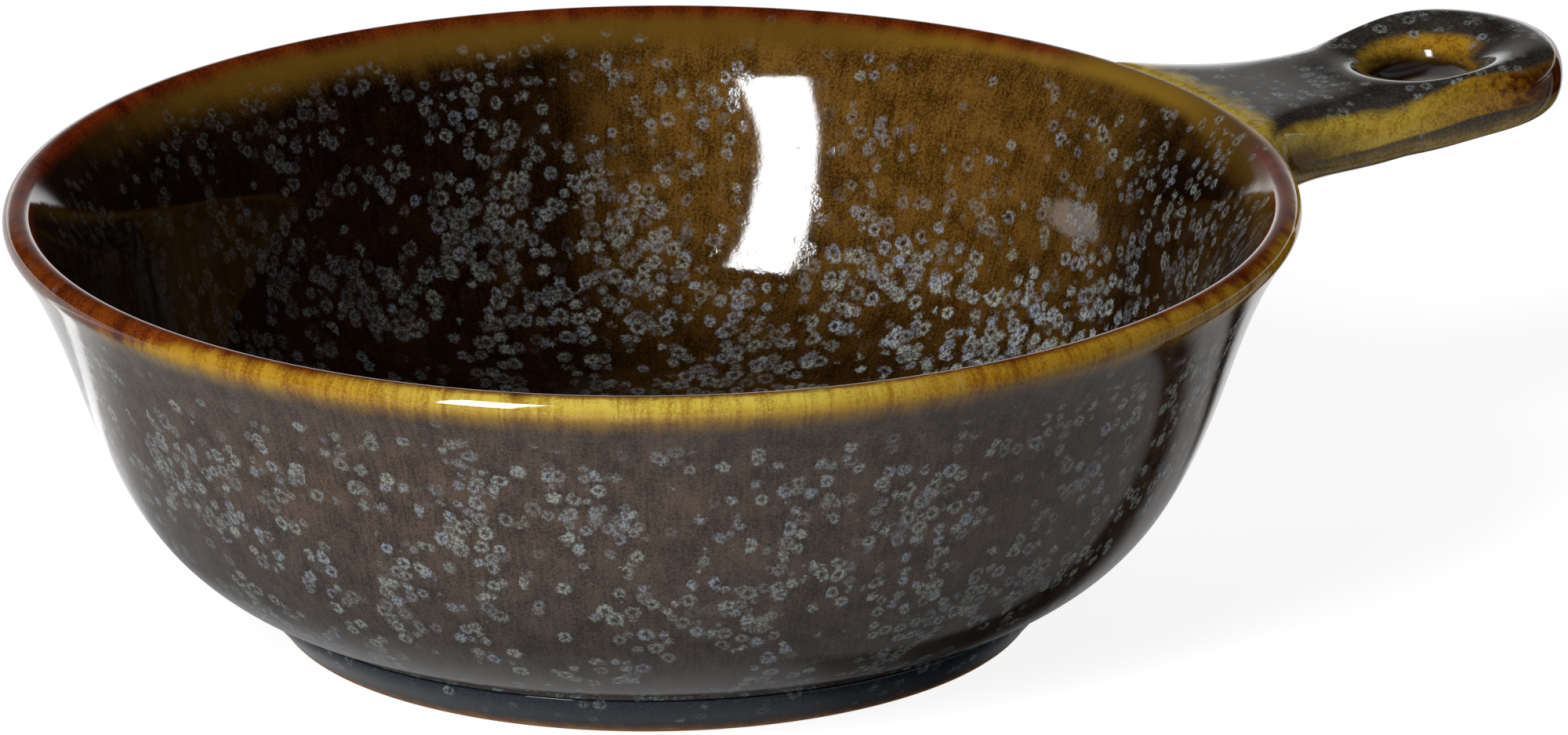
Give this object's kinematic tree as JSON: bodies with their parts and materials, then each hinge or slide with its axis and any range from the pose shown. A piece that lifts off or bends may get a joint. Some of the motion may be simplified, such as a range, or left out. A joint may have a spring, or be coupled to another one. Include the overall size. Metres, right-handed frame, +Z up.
{
  "type": "handled bowl",
  "caption": "Small round stoneware serving bowl on a foot ring, with a flat side handle that ends in a ring with a hanging hole, in a glossy brown reactive glaze",
  "frame": {"origin": "centre of the whole object's box, at the height of the surface that the foot stands on", "axes": "+X from the bowl to the tip of the handle, +Z up out of the bowl, +Y to the left when looking along +X"},
  "size_m": [0.2, 0.15, 0.0513],
  "materials": {
    "brown_glaze": "glossy reactive glaze, brown with blue-grey crystals",
    "navy_glaze": "glossy reactive glaze, thick and dark, bare clay at the base",
    "slate_glaze": "glossy reactive glaze, slate with amber edges",
    "fired_slip": "matt fired clay"
  },
  "bodies": {
    "root": {"bowl_body": "brown_glaze", "foot_ring": "navy_glaze", "foot_slip": "fired_slip", "handle": "slate_glaze", "handle_slip": "fired_slip"}
  },
  "joints": []
}
